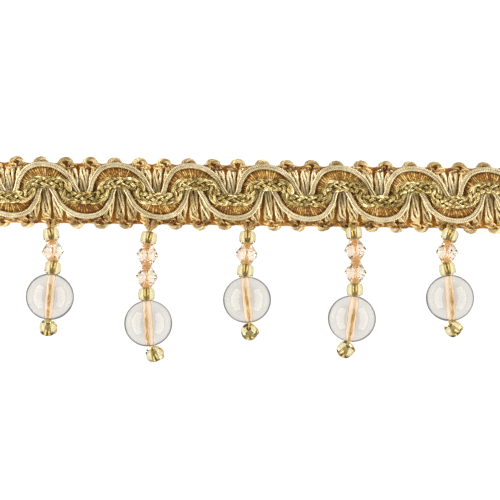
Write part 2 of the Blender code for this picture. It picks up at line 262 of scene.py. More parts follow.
# Each drop as in the part: its beads with how far each leans from straight down, in degrees, and the way
# that its end seed's hole points.
DROPS = (
    dict(beads=(("seed", 9), ("bicone", 7), ("seed", -7), ("round", -4)), end_hole=(-0.10, -0.85, -0.55)),
    dict(beads=(("seed", -9), ("bicone", -1), ("bicone", 0), ("seed", 2), ("round", 5)),
         end_hole=(0.30, -0.90, -0.40)),
    dict(beads=(("seed", -1), ("bicone", -3), ("seed", -4), ("round", 6)), end_hole=(0.10, -0.55, -0.80)),
    dict(beads=(("seed", 5), ("bicone", 5), ("bicone", -3), ("seed", 1), ("round", -7)),
         end_hole=(-0.45, -0.65, -0.60)),
    dict(beads=(("seed", -20), ("bicone", -4), ("seed", 11), ("round", 4)), end_hole=(0.60, -0.60, -0.55)),
)

# The thread from the end seed's near mouth: through it, round its far end and back beside it.
TURN_ROUTE = (
    # along the seed's hole in mm, aside from it in mm
    (-1.00, 0.00),
    (1.02, 0.00),
    (1.18, 0.34),
    (1.20, 0.90),
    (0.98, 1.34),
    (0.45, 1.52),
    (-0.50, 1.52),
)

# Its end lies between the last mouth and the end seed: a share of the way, and mm aside.
THREAD_END = (0.35, 0.45)
THREAD_ROOT_Y = -4.98
THREAD_ROOT_LEVEL = 1.30
THREAD_OVER_Y = -5.92
THREAD_OVER_LEVEL = 1.20

# The two strands of a drop's thread: fanned and thick at the root, close and thin round the end seed.
STRAND_RADIUS = 0.11
STRAND_ROOT_RADIUS = 0.30
STRAND_TURN_RADIUS = 0.0715
STRAND_SPREAD = 0.12
STRAND_ROOT_SPREAD = 0.62
STRAND_TURN_SPREAD = 0.06
STRAND_ROOT_FADE = 1 / 3
STRAND_TWIST_PITCH = 3.4
STRAND_STEP = 0.22
STRAND_SIDES = 8
STRAND_RELIEF = 0.08
STRAND_FIBRE_PITCH = 0.9
STRAND_TONES = (0.3, 0.7)

# What all yarns share: how far painted shade darkens the grooves between their filaments, where their three
# colours lie, and their bump in mm.
TWIST_GROOVE_SHADE = 0.20
YARN_STOPS = (0.25, 0.5, 0.75)
TWIST_DEPTH = 0.02
TWIST_BUMP = 0.6

# Clear beads: how uneven their painted dark rims are, in patches of a size in mm, and the finish of their
# coats.
RIM_UNEVEN = 0.30
RIM_PATCH = 5.0
COAT_ROUGHNESS = 0.35
COAT_IOR = 1.2

# The studio, in metres and watts: a glowing table, two long lamps and a dim ceiling.
TABLE_HALF = 1.5
TABLE_GREY = 0.06
TABLE_GLOW_CAST = 0.32
TABLE_GLOW_SEEN = 0.66
LAMP_SIZE = (1.00, 0.36)
LAMP_DISTANCE = 0.45
LAMP_LIFT = math.radians(30)
LAMP_COLOUR = (1.0, 0.96, 0.88)
CEILING_STRENGTH = 0.55

# The camera's lens and sensor in mm, its near end in metres, and the height in mm where its scale holds.
CAMERA_LENS = 200
CAMERA_SENSOR = 36
CAMERA_CLIP = 0.01
BAND_LEVEL = 2.0


def unit(vectors):
    """The vectors at length 1."""
    return vectors / np.linalg.norm(vectors, axis=-1, keepdims=True)


def to_part(points):
    """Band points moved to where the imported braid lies."""
    return points + np.array([0.0, BAND_Y, 0.0])


def ease(values, start=0.0, end=1.0):
    """0 before the start, 1 after the end and a smooth step between."""
    share = np.clip((values - start) / (end - start), 0.0, 1.0)
    return share * share * (3 - 2 * share)


def uneven(count, step, low, high):
    """Numbers that wander evenly between chance values, a new one at every so many steps."""
    values = CHANCE.uniform(low, high, count // step + 2)
    return np.interp(np.arange(count) / step, np.arange(len(values)), values)


def cubic(share, span, start, end, start_slope, end_slope):
    """Cubic pieces from their starts to their ends with the given slopes, at shares of their spans."""
    return ((2 * share**3 - 3 * share**2 + 1) * start
            + (share**3 - 2 * share**2 + share) * span * start_slope
            + (3 * share**2 - 2 * share**3) * end
            + (share**3 - share**2) * span * end_slope)


def smooth_curve(knots, values, places):
    """A smooth curve through values at knots: cubic pieces with slopes from both neighbours."""
    slopes = np.gradient(values, knots, axis=0)
    index = np.clip(np.searchsorted(knots, places, side="right") - 1, 0, len(knots) - 2)
    span = (knots[index + 1] - knots[index])[:, None]
    share = (places - knots[index])[:, None] / span
    return cubic(share, span, values[index], values[index + 1], slopes[index], slopes[index + 1])


def smooth_route(rows, turns, pitch):
    """Points of a repeating route: cubic pieces through its rows, each repeat moved on by the pitch."""
    table = np.array(rows)
    repeats = np.arange(-1, 3)[:, None]
    knots = (table[None, :, 0] + repeats).ravel()
    across = (table[None, :, 1] + repeats * pitch).ravel()
    values = np.column_stack([across, np.tile(table[:, 2], len(repeats))])
    slopes = (values[2:] - values[:-2]) / (knots[2:] - knots[:-2])[:, None]
    whole = np.floor(turns - knots[len(table)])
    local = turns - whole
    index = np.clip(np.searchsorted(knots, local, side="right") - 1, 1, len(knots) - 3)
    span = (knots[index + 1] - knots[index])[:, None]
    share = (local - knots[index])[:, None] / span
    points = cubic(share, span, values[index], values[index + 1], slopes[index - 1], slopes[index])
    return points + whole[:, None] * [pitch, 0.0]


def upper_cord_line(turns):
    """The upper cord's middle line, its first crown a quarter of an arch to the right of the middle."""
    return smooth_route(CORD_ROUTE, turns, ARCH_PITCH) + np.array([ARCH_PITCH / 4, 0.0])


def lower_cord_line(turns):
    """The upper cord's line turned half round about the origin."""
    return -upper_cord_line(-turns - 0.5)


def side_of(line):
    """Unit vectors to the right of a line as it runs."""
    run = unit(np.gradient(line, axis=0))
    return np.stack([run[:, 1], -run[:, 0]], axis=1)


def distances(path):
    """How far along a path each of its points lies."""
    steps = np.linalg.norm(np.diff(path, axis=-2), axis=-1)
    start = np.zeros(path.shape[:-2] + (1,))
    return np.concatenate([start, np.cumsum(steps, axis=-1)], axis=-1)


def even_steps(line, step):
    """The same line with points at even distances."""
    distance = distances(line)
    wanted = np.linspace(0.0, distance[-1], int(round(distance[-1] / step)) + 1)
    return np.stack([np.interp(wanted, distance, line[:, axis]) for axis in range(line.shape[1])], axis=1)


def sweep(path, section, reference=(0.0, 0.0, 1.0), closed=False):
    """A section carried along a path: its first number goes to the right of the run, square to the
    reference, and its second goes square to both."""
    if closed:
        run = unit(np.roll(path, -1, axis=-2) - np.roll(path, 1, axis=-2))
    else:
        run = unit(np.gradient(path, axis=-2))
    right = unit(np.cross(run, reference))
    up = np.cross(right, run)
    return path[..., None, :] + section[..., :1] * right[..., None, :] + section[..., 1:] * up[..., None, :]


def twisted_section(radius, sides, relief, along, pitch):
    """Circles of the given radii, one a ring, with two lobes that swell them by the relief as a cosine of
    twice the way round, less a whole turn for each pitch along."""
    angle = np.arange(sides) * math.tau / sides
    turn = math.tau * along / pitch
    size = radius[..., None] * (1 + relief * np.cos(2 * angle - turn[..., None]))
    return np.stack([size * np.cos(angle), size * np.sin(angle)], axis=-1)


def one_solid(rings, along, tone):
    """A block of one solid: its rings, how far along each lies, and a tone for each ring or point."""
    tone = tone if tone.ndim == 2 else tone[:, None]
    return dict(rings=rings[None], along=along[None], tone=tone[None])


def add_object(name, data):
    """A new object in the scene, at the origin."""
    item = bpy.data.objects.new(name, data)
    bpy.context.scene.collection.objects.link(item)
    return item


def make_piece(name, blocks, materials, nodes=(), smooth=True):
    """One object made of blocks, riding on the root body. Each block is rings of points, points[solid,
    ring, side], joined by quads that face outwards where a ring's sides run from right to up. Open blocks
    get a cap at both ends. Each corner's UV is the distance along the solid in mm and the share of the
    way round, and the attribute tone is a point's place on its colour ramp, its own tone or painted light
    and shade, given for each solid, ring and side or for fewer of them."""
    points, quads, quad_uv, caps, cap_uv, quad_slots, cap_slots, tones = [], [], [], [], [], [], [], []
    offset = 0
    for block in blocks:
        rings = block["rings"]
        closed = block.get("closed", False)
        solids, count, sides = rings.shape[:3]
        index = offset + np.arange(solids * count * sides).reshape(solids, count, sides)
        offset += index.size
        points.append(rings.reshape(-1, 3))
        along = np.broadcast_to(block.get("along", np.zeros((solids, count))), (solids, count))
        tones.append(np.broadcast_to(block.get("tone", 0.5), (solids, count, sides)).ravel())
        beside = np.roll(index, -1, axis=2)
        if closed:
            last = slice(None)
            following, following_beside = np.roll(index, -1, axis=1), np.roll(beside, -1, axis=1)
            along_next = np.concatenate([along[:, 1:], 2 * along[:, -1:] - along[:, -2:-1]], axis=1)
        else:
            last = slice(0, -1)
            following, following_beside = index[:, 1:], beside[:, 1:]
            along_next = along[:, 1:]
        corners = np.stack([index[:, last], following, following_beside, beside[:, last]], axis=-1)
        quads.append(corners.reshape(-1, 4))
        here = np.repeat(along[:, last, None], sides, axis=2)
        there = np.repeat(along_next[..., None], sides, axis=2)
        low = np.broadcast_to(np.arange(sides) / sides, here.shape)
        high = low + 1 / sides
        uv = np.stack([here, low, there, low, there, high, here, high], axis=-1)
        quad_uv.append(uv.reshape(-1, 2))
        wall = np.broadcast_to(block.get("material", 0), (sides,))
        quad_slots.append(np.broadcast_to(wall, here.shape).ravel())
        if not closed:
            ends = np.concatenate([index[:, 0], index[:, -1, ::-1]])
            caps += ends.tolist()
            cap_uv.append(np.zeros((ends.size, 2)))
            cap_slots.append(np.full(len(ends), wall[0]))
    mesh = bpy.data.meshes.new(name)
    mesh.from_pydata(np.concatenate(points) * MM, [], np.concatenate(quads).tolist() + caps)
    mesh.uv_layers.new(name="lay").data.foreach_set("uv", np.concatenate(quad_uv + cap_uv).ravel())
    mesh.attributes.new("tone", "FLOAT", "POINT").data.foreach_set("value", np.concatenate(tones))
    for material in materials:
        mesh.materials.append(material)
    mesh.polygons.foreach_set("material_index", np.concatenate(quad_slots + cap_slots).astype(np.int32))
    if smooth:
        mesh.shade_smooth()
        mesh.set_sharp_from_angle(angle=SHARP_ANGLE)
    else:
        mesh.shade_flat()
    piece = add_object(name, mesh)
    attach(piece, "root")
    if nodes:
        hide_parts(*nodes)
    return piece


def linear(colour):
    """An sRGB hex colour as linear RGBA."""
    channels = np.array([int(colour[start:start + 2], 16) for start in (1, 3, 5)]) / 255
    low, high = channels / 12.92, ((channels + 0.055) / 1.055) ** 2.4
    return (*np.where(channels <= 0.04045, low, high), 1.0)


def add_node(tree, kind, inputs=None, **settings):
    """Add a node: settings are its own values, and inputs are its sockets' values or what feeds them."""
    node = tree.nodes.new(kind)
    for setting, value in settings.items():
        setattr(node, setting, value)
    set_inputs(tree, node, inputs or {})
    return node


def set_inputs(tree, node, inputs):
    """Set a node's sockets to values, or link them to the sockets that feed them."""
    for socket, value in inputs.items():
        if isinstance(value, bpy.types.NodeSocket):
            tree.links.new(value, node.inputs[socket])
        else:
            node.inputs[socket].default_value = value


def new_material(name):
    """A node material with its tree and its Principled shader."""
    material = bpy.data.materials.new(name)
    material.use_nodes = True
    return material, material.node_tree, material.node_tree.nodes["Principled BSDF"]


def twist_wave(tree, filaments, pitch):
    """Stripes of filaments that wind round a yarn, from -1 to 1: the sine of a whole turn times the
    filaments' number times the share of the way round, plus a whole turn for each pitch along."""
    lay = add_node(tree, "ShaderNodeUVMap", uv_map="lay")
    split = add_node(tree, "ShaderNodeSeparateXYZ", {0: lay.outputs[0]})
    along = add_node(tree, "ShaderNodeMath", {0: split.outputs["X"], 1: math.tau / pitch},
                     operation="MULTIPLY")
    around = add_node(tree, "ShaderNodeMath",
                      {0: split.outputs["Y"], 1: math.tau * filaments, 2: along.outputs[0]},
                      operation="MULTIPLY_ADD")
    return add_node(tree, "ShaderNodeMath", {0: around.outputs[0]}, operation="SINE").outputs[0]


def add_ramp(tree, share, stops):
    """A colour ramp: stops are positions with hex colours, in order."""
    ramp = add_node(tree, "ShaderNodeValToRGB", {0: share})
    first, *between, last = stops
    for element, (position, colour) in zip(ramp.color_ramp.elements, (first, last)):
        element.position = position
        element.color = linear(colour)
    for position, colour in between:
        ramp.color_ramp.elements.new(position).color = linear(colour)
    return ramp.outputs["Color"]


def patches(tree, size, detail=3.0):
    """Uneven patches of about the given size in mm, from 0 to 1."""
    place = add_node(tree, "ShaderNodeTexCoord").outputs["Object"]
    noise = add_node(tree, "ShaderNodeTexNoise",
                     {"Vector": place, "Scale": 1 / (size * MM), "Detail": detail})
    return noise.outputs["Fac"]


def yarn_material(name, colours, roughness, filaments, pitch, patch=1.2, **extra):
    """A twisted yarn: a tone for each strand, with painted light and shade where a piece adds them, uneven
    dye in patches, painted shade in the grooves between filaments and a bump for their twist. The colours
    are its deep, base and light ones. Sizes are in mm."""
    material, tree, shader = new_material(name)
    tone = add_node(tree, "ShaderNodeAttribute", attribute_name="tone").outputs["Fac"]
    wave = twist_wave(tree, filaments, pitch)
    # Uneven dye patches plus the tone, which holds painted light and shade where the pieces put it.
    dye_and_painted_shade = add_node(tree, "ShaderNodeMath", {0: patches(tree, patch), 1: tone}, operation="ADD")
    # Painted shade: the twist's stripes darken the grooves between filaments and lighten their crests.
    twisted = add_node(tree, "ShaderNodeMath", {0: wave, 1: TWIST_GROOVE_SHADE, 2: dye_and_painted_shade.outputs[0]},
                       operation="MULTIPLY_ADD")
    share = add_node(tree, "ShaderNodeMath", {0: twisted.outputs[0], 1: 0.5}, operation="MULTIPLY")
    colour = add_ramp(tree, share.outputs[0], tuple(zip(YARN_STOPS, colours)))
    bump = add_node(tree, "ShaderNodeBump",
                    {"Height": wave, "Distance": TWIST_DEPTH * MM, "Strength": TWIST_BUMP})
    set_inputs(tree, shader, {"Base Color": colour, "Roughness": roughness,
                              "Normal": bump.outputs["Normal"], **extra})
    return material


def glass_material(name, tints, ior, roughness=0.015):
    """Clear glass or resin that lamps reach through, so that what lies in and under it is lit. Its tints
    run from where sight meets it squarely, at 0, to its rim, at 1, whose width is a little uneven. The
    darker rim is painted shade, and a lighter ring inside it is painted light."""
    material, tree, shader = new_material(name)
    facing = add_node(tree, "ShaderNodeLayerWeight", {"Blend": 0.5}).outputs["Facing"]
    wider = add_node(tree, "ShaderNodeMath", {0: patches(tree, RIM_PATCH, 1.0), 1: RIM_UNEVEN, 2: facing},
                     operation="MULTIPLY_ADD")
    rim = add_node(tree, "ShaderNodeMath", {0: wider.outputs[0], 1: RIM_UNEVEN / 2}, operation="SUBTRACT")
    colour = add_ramp(tree, rim.outputs[0], tints)
    set_inputs(tree, shader, {"Base Color": colour, "Roughness": roughness, "IOR": ior,
                              "Transmission Weight": 1.0})
    path = add_node(tree, "ShaderNodeLightPath")
    through = add_node(tree, "ShaderNodeBsdfTransparent", {"Color": linear(tints[0][1])})
    mix = add_node(tree, "ShaderNodeMixShader",
                   {0: path.outputs["Is Shadow Ray"], 1: shader.outputs[0], 2: through.outputs[0]})
    tree.links.new(mix.outputs[0], tree.nodes["Material Output"].inputs["Surface"])
    return material


def coat_material(name, colour, edge, clearness):
    """A thin coat of lacquer that lets light through, deeper at its sides, where sight runs along it."""
    material, tree, shader = new_material(name)
    facing = add_node(tree, "ShaderNodeLayerWeight", {"Blend": 0.5}).outputs["Facing"]
    tint = add_ramp(tree, facing, ((0.0, colour), (0.35, colour), (0.70, edge)))
    set_inputs(tree, shader, {"Base Color": tint, "Roughness": COAT_ROUGHNESS, "IOR": COAT_IOR,
                              "Transmission Weight": clearness})
    return material


def gathered(x, y):
    """How far the legs are drawn in x towards the feet of the cords' arches: a sine with one period for
    each arch, which is strongest beside the braid's middle and fades out at its edges."""
    def pull(foot, level):
        near = ease(level, GATHER_START, GATHER_LEVEL) * (1 - ease(level, GATHER_LEVEL, GATHER_END))
        return -LEG_GATHER * ARCH_PITCH / math.tau * np.sin(math.tau * (x - foot) / ARCH_PITCH) * near

    return pull(-ARCH_PITCH / 4, y) + pull(ARCH_PITCH / 4, -y)


def leg_paths():
    """The ground yarn's middle line, with each ring's half spread and ply radius. A leg runs from its
    lower loop's crown to its upper one's, and every second leg is run backwards."""
    half = np.array(LEG_ROUTE)
    beyond = half[-2] * [0, -1, 1, 1, 1, 1] + [2 - half[-2, 0], 2 * half[-1, 1], 0, 0, 0, 0]
    upper = np.vstack([half, beyond])
    lower = upper[:0:-1] * [-1, -1, -1, 1, 1, 1]
    table = np.vstack([lower, upper])
    share = np.linspace(-1, 1, LEG_RINGS + 1)[:-1]
    upper_reach, lower_reach = TOP_LOOP_PROUD, BOTTOM_REACH - TOP_REACH + BOTTOM_LOOP_PROUD
    rows = []
    for leg in range(-LOOP_COUNT, LOOP_COUNT):
        forward = 1 if leg % 2 == 0 else -1
        values = smooth_curve(table[:, 0], table[:, 1:], forward * share)
        toward, y, spread, level, radius = values.T
        reach = np.where(y < 0, lower_reach, upper_reach) + CHANCE.uniform(*LOOP_CHANCE)
        y = y + np.sign(y) * reach * ease(np.abs(y), 0.0, LEG_STRETCH_END)
        x = (leg + 0.5) * LEG_PITCH + forward * toward
        x = x + CHANCE.uniform(-LEG_ASIDE, LEG_ASIDE) * (1 - ease(np.abs(y), *LEG_ASIDE_FADE))
        x = x + gathered(x, y)
        rows.append(np.column_stack([x, y, level, spread, radius]))
    return np.concatenate(rows)


def make_legs(material):
    """The pale ground yarn: plies wound round each other in a flattened helix, slow in the legs and close
    in the loops, where cosine times the half spread goes aside and sine times the depth goes up."""
    rows = leg_paths()
    middle, spread, ply_radius = rows[:, :3], rows[:, 3], rows[:, 4]
    right = np.zeros_like(middle)
    right[:, :2] = side_of(middle[:, :2])
    along = distances(middle)
    tight = ease(np.abs(middle[:, 1]), *LOOP_TWIST_FADE)
    rate = (1 - tight) / LEG_TWIST_PITCH + tight / LOOP_TWIST_PITCH
    turn = math.tau * np.cumsum(rate * np.gradient(along))
    side_painted_light = LEG_SIDE_PAINTED_LIGHT * np.sign(middle[:, 1]) * (1 - 2 * tight)
    blocks = []
    for ply in range(PLIES):
        wander = uneven(len(rows), PLY_WANDER_RINGS, -PLY_WANDER, PLY_WANDER)
        angle = turn + math.tau * ply / PLIES + wander
        path = middle + right * (spread * np.cos(angle))[:, None]
        path[:, 2] += PLY_DEPTH * np.sin(angle)
        length = distances(path)
        section = twisted_section(ply_radius, PLY_SIDES, PLY_RELIEF, length, PLY_TWIST_PITCH)
        # Random tone along each ply, plus painted light and shade by side and painted shade in the loops.
        tone = uneven(len(rows), LEG_TONE_RINGS, *LEG_TONES) + side_painted_light - LOOP_SHADE * tight
        blocks.append(one_solid(to_part(sweep(path, section)), length, tone))
    return make_piece("leg_yarn", blocks, [material], ["ground_braid"])


def make_chain(material):
    """Chain stitches along both edges: one ring of thread for each leg, and each two that hold one loop
    drawn together. A ring is an ellipse whose width grows towards its head, and it rises to the head and
    dips there as a stretch of a sine, so that it lies over the next."""
    angle = np.arange(CHAIN_RINGS) * math.tau / CHAIN_RINGS
    head = (1 + np.cos(angle)) / 2
    width = CHAIN_HALF_WIDTH * CHAIN_TAPER * (1 + head) * np.sin(angle)
    arc = math.pi * (CHAIN_ARC[0] + (CHAIN_ARC[1] - CHAIN_ARC[0]) * head)
    level = CHAIN_LOW + (CHAIN_HIGH - CHAIN_LOW) * np.sin(arc)
    number = np.arange(-LOOP_COUNT, LOOP_COUNT)
    even_leg = np.where(number % 2 == 0, 1, -1)
    blocks = []
    for row in CHAIN_ROWS:
        legs = (number + 0.5) * LEG_PITCH + CHAIN_PULL * even_leg * np.sign(row)
        shift = CHANCE.uniform(-CHAIN_SHIFT, CHAIN_SHIFT, (len(legs), 3))
        slant = CHANCE.uniform(-CHAIN_SLANT, CHAIN_SLANT, (len(legs), 1))
        path = np.zeros((len(legs), CHAIN_RINGS, 3))
        path[..., 0] = legs[:, None] + CHAIN_LENGTH / 2 * np.cos(angle) + shift[:, :1]
        path[..., 1] = row + width + slant * np.cos(angle) + shift[:, 1:2]
        path[..., 2] = level + shift[:, 2:]
        radius = np.full((len(legs), CHAIN_RINGS), CHAIN_THREAD)
        along = np.broadcast_to(np.arange(CHAIN_RINGS) * CHAIN_STEP, radius.shape)
        section = twisted_section(radius, CHAIN_SIDES, CHAIN_RELIEF, along, CHAIN_TWIST_PITCH)
        # Random tone for each stitch, plus a swing round it of painted highlights and shade.
        tone = CHANCE.uniform(*CHAIN_TONES, (len(legs), 1)) + CHAIN_PAINTED_GLINT_SWING * np.sin(2 * angle)
        rings = to_part(sweep(path, section, closed=True))
        blocks.append(dict(rings=rings, along=along, tone=tone[..., None], closed=True))
    return make_piece("chain_stitches", blocks, [material])


def make_cloth(material):
    """The amber ground cloth: a thin strip whose edges reach into the loops in scallops, a cosine of the
    way along, with a face that is a sine along times a sine across. Its colour is painted darker at the
    edges and in the loops' eyes, as shade."""
    end = BRAID_LENGTH / 2 - CLOTH_END_INSET
    x = np.linspace(-end, end, CLOTH_STATIONS)
    wave = np.cos(math.tau * x / LOOP_PITCH)
    across = np.linspace(0, 1, CLOTH_ROWS)
    low, high = (reach - depth * wave for reach, depth in zip(CLOTH_REACHES, CLOTH_SCALLOPS))
    face = low[:, None] + (high - low)[:, None] * across
    knit = np.sin(math.tau * x / CLOTH_STITCH)[:, None] * np.sin(CLOTH_WALES * math.tau * across)
    rings = np.zeros((CLOTH_STATIONS, 2 * CLOTH_ROWS, 3))
    rings[:, :, 0] = x[:, None]
    rings[:, :CLOTH_ROWS, 1] = face
    rings[:, :CLOTH_ROWS, 2] = CLOTH_THICKNESS + CLOTH_KNIT * knit
    rings[:, CLOTH_ROWS:, 1] = face[:, ::-1]
    y = rings[..., 1]
    inwards = np.minimum(y - low[:, None], high[:, None] - y)
    # Painted shade at the edges and in the loops' eyes.
    edge_painted_shade = np.where(y < 0, *CLOTH_EDGE_PAINTED_SHADES) + CLOTH_EYE_PAINTED_SHADE * np.sign(y) * wave[:, None]
    tone = edge_painted_shade + (CLOTH_TONE - edge_painted_shade) * ease(inwards, *CLOTH_EDGE_FADE)
    tone[:, CLOTH_ROWS:] = CLOTH_TONE
    return make_piece("ground_cloth", [one_solid(to_part(rings), x, tone)], [material])


def make_cord(name, line, material, node):
    """A flat cord of two round cores side by side under a close helix of thread. Its section is the
    outline of two circles, and each turn of thread is a low ridge. Painted shade darkens the thread in the
    groove, as a bell curve of the angle that is deepest where the cord runs up and down the band, and on
    its steep flanks."""
    flat = even_steps(line(np.linspace(FIRST_ARCH, LAST_ARCH, CORD_TURNS)), CORD_WRAP / CORD_WRAP_STEPS)
    path = np.column_stack([flat, np.full(len(flat), CORD_LEVEL)])
    along = distances(path)
    share = np.arange(CORD_SIDES) / CORD_SIDES
    angle = math.tau * share
    outline = CORE_OFFSET * np.abs(np.cos(angle))
    outline += np.sqrt(CORE_RADIUS**2 - (CORE_OFFSET * np.sin(angle))**2)
    ridge = np.abs(np.cos(math.pi * (along[:, None] / CORD_WRAP + share)))
    radius = outline + CORD_WRAP_RELIEF * (ridge - CORD_WRAP_MEAN)
    section = np.stack([radius * np.cos(angle), radius * np.sin(angle)], axis=-1)
    # Painted shade in the groove, and on the flanks where the cord runs steeply.
    groove = np.exp(-((angle - math.pi / 2) / CORD_GROOVE_ANGLE)**2)
    steep = np.abs(np.gradient(flat[:, 1]) / np.gradient(along))
    depth = CORD_GROOVE_PAINTED_SHADES[0] + (CORD_GROOVE_PAINTED_SHADES[1] - CORD_GROOVE_PAINTED_SHADES[0]) * ease(steep)
    tone_and_flank_shade = uneven(len(path), CORD_TONE_RINGS, *CORD_TONES) - CORD_FLANK_PAINTED_SHADE * steep
    tone = tone_and_flank_shade[:, None] - depth[:, None] * groove
    rings = to_part(sweep(path, section))
    return make_piece(name, [one_solid(rings, along, tone)], [material], [node])


def make_ribbon(material):
    """The ribbed ribbon: straight ribs from one cord to the other at equal turns, each a ridge that
    follows a cosine, on a strip that is domed across as a power of a parabola."""
    count = round((LAST_ARCH - FIRST_ARCH) * RIBS_PER_ARCH * RIB_STEPS) + 1
    turns = np.linspace(FIRST_ARCH, LAST_ARCH, count)
    slant = RIB_SLANT / RIBS_PER_ARCH
    upper = upper_cord_line(turns + uneven(count, 2 * RIB_STEPS, -slant, slant))
    lower = lower_cord_line(turns + uneven(count, 2 * RIB_STEPS, -slant, slant))
    upper = upper + side_of(upper) * RIBBON_INSET
    lower = lower - side_of(lower) * RIBBON_INSET
    rib = np.arange(count) / RIB_STEPS
    number = np.floor(rib + 0.5).astype(int)
    ribs = number.max() + 1
    crest = np.abs(np.cos(math.pi * rib))
    ridge = crest * CHANCE.uniform(*RIB_LIFTS, ribs)[number]
    # Random tone for each rib on its crest, with painted shade between the ribs.
    rib_tone = crest * CHANCE.uniform(*RIB_TONES, ribs)[number]
    rib_tone += uneven(count, RIBBON_TONE_STEPS, *RIBBON_TONES)
    across = np.linspace(0, 1, RIBBON_ROWS)
    parabola = 1 - (2 * across - 1) ** 2
    level = RIBBON_EDGE + RIBBON_CROWN * parabola ** RIBBON_ROUNDING
    plan = lower[:, None, :] + (upper - lower)[:, None, :] * across[:, None]
    rings = np.zeros((count, RIBBON_ROWS + 3, 3))
    rings[:, :RIBBON_ROWS, :2] = plan
    rings[:, :RIBBON_ROWS, 2] = level + RIB_RELIEF * (ridge[:, None] - 0.5)
    rings[:, RIBBON_ROWS:, :2] = plan[:, [-1, RIBBON_ROWS // 2, 0]]
    rings[:, RIBBON_ROWS:, 2] = RIBBON_BACK
    # Painted glints and dark flecks on the ribs' crests, and painted shade towards both edges.
    flecks = CHANCE.uniform(-RIBBON_PAINTED_GLINTS, RIBBON_PAINTED_GLINTS, (ribs, RIBBON_ROWS))[number]
    tone = np.zeros((count, RIBBON_ROWS + 3))
    tone[:, :RIBBON_ROWS] = rib_tone[:, None] + crest[:, None] * flecks - RIBBON_EDGE_SHADE * (1 - parabola)
    block = one_solid(to_part(rings), rib * RIB_LAY, tone)
    return make_piece("ribbed_ribbon", [block], [material], ["amber_ribbon"])


def plait_line():
    """A near-square wave of quarter circles and level runs, with a crest under each upper arch."""
    quarter = np.linspace(0, math.pi / 2, PLAIT_BEND_POINTS)
    rise = PLAIT_BEND * np.stack([1 - np.cos(quarter), np.sin(quarter)], axis=1)
    crest_start = rise + [PLAIT_RISE_X, 0.0]
    crest_end = rise[::-1] * [-1, 1] + [PLAIT_FALL_X, 0.0]
    trough_start = rise * [1, -1] + [PLAIT_FALL_X, 0.0]
    trough_end = rise[::-1] * [-1, -1] + [PLAIT_RISE_X + ARCH_PITCH, 0.0]
    wave = np.concatenate([crest_start, crest_end[:-1], trough_start, trough_end[:-1]])
    arches = np.arange(math.floor(FIRST_ARCH), math.ceil(LAST_ARCH)) + PLAIT_START
    waves = [wave + [arch * ARCH_PITCH, 0.0] for arch in arches]
    line = even_steps(np.concatenate(waves), PLAIT_STEP)
    first, last = (FIRST_ARCH + PLAIT_START) * ARCH_PITCH, (LAST_ARCH + PLAIT_START) * ARCH_PITCH
    return line[(line[:, 0] > first) & (line[:, 0] < last)]


def make_plait(material):
    """A flat plait of strands of two threads: each strand swings from side to side as a cosine of the way
    along, and lifts and dips as a sine that goes round once less than there are strands, so that it
    passes over one strand and under the next."""
    line = plait_line()
    along = distances(line)
    right = side_of(line)
    blocks = []
    for strand in range(PLAIT_STRANDS):
        phase = math.tau * (along / PLAIT_CYCLE + strand / PLAIT_STRANDS)
        swing = PLAIT_SWING * np.cos(phase)
        swing += uneven(len(line), PLAIT_WANDER_RINGS, -PLAIT_WANDER, PLAIT_WANDER)
        lift = PLAIT_LEVEL + PLAIT_LIFT * np.sin((PLAIT_STRANDS - 1) * phase)
        middle = np.column_stack([line + right * swing[:, None], lift])
        beside = np.zeros_like(middle)
        beside[:, :2] = side_of(middle[:, :2])
        for place in PLAIT_THREADS:
            aside = place + uneven(len(line), PLAIT_THREAD_RINGS, -PLAIT_THREAD_ASIDE, PLAIT_THREAD_ASIDE)
            path = middle + beside * aside[:, None]
            path[:, 2] += uneven(len(line), PLAIT_THREAD_RINGS, -PLAIT_THREAD_LIFT, PLAIT_THREAD_LIFT)
            length = distances(path)
            radius = np.full(len(path), PLAIT_THREAD_RADIUS)
            section = twisted_section(radius, PLAIT_SIDES, PLAIT_RELIEF, length, PLAIT_TWIST_PITCH)
            tone = uneven(len(path), PLAIT_TONE_RINGS, *PLAIT_TONES)
            blocks.append(one_solid(to_part(sweep(path, section)), length, tone))
    return make_piece("metallic_strands", blocks, [material], ["centre_plait"])


def middle_of(node):
    """The middle of a node's box, in mm."""
    low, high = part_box(node)
    return np.array((low + high) / 2) / MM


def way(lean, rise):
    """The direction down a drop: leaning towards +X in plan, rising from the table."""
    return np.array([math.sin(lean) * math.cos(rise), -math.cos(lean) * math.cos(rise), math.sin(rise)])


def lathe(profile, segments):
    """A closed profile turned about Z. A row is a radius and a height, outwards below, inwards above."""
    angle = np.arange(segments) * math.tau / segments
    profile = np.array(profile)
    rings = np.zeros((segments, len(profile), 3))
    rings[..., 0] = np.cos(angle)[:, None] * profile[:, 0]
    rings[..., 1] = np.sin(angle)[:, None] * profile[:, 0]
    rings[..., 2] = profile[:, 1]
    return rings


def bead_sizes(kind):
    """The radius of a bead's hole, half its length less the gap to its neighbours, and its radius."""
    return BORE[kind], (ALONG[kind] - BEAD_GAP) / 2, ACROSS[kind] / 2


def bored(profile, bore, end, chamfer):
    """An outer profile closed by the bore, with a chamfer of the given length at both ends, and the
    number of the bore's wall."""
    rows = [(bore, -end + chamfer), *profile, (bore, end - chamfer)]
    return rows, [len(rows) - 1]


def seed_shape():
    """A glass seed: a tube with a swollen side and rounded ends, whose thickness is a power of a cosine
    and whose height is a power of a sine. Its coated wall is the bore."""
    bore, end, side = bead_sizes("seed")
    angle = np.linspace(-math.pi / 2, math.pi / 2, SEED_ROWS)
    inner = bore + SEED_CHAMFER[0]
    radius = inner + (side - inner) * np.cos(angle) ** SEED_BULGE
    height = end * np.abs(np.sin(angle)) ** SEED_CORNER * np.sign(angle)
    profile, coated = bored(zip(radius, height), bore, end, SEED_CHAMFER[1])
    return lathe(profile, SEED_SEGMENTS), coated


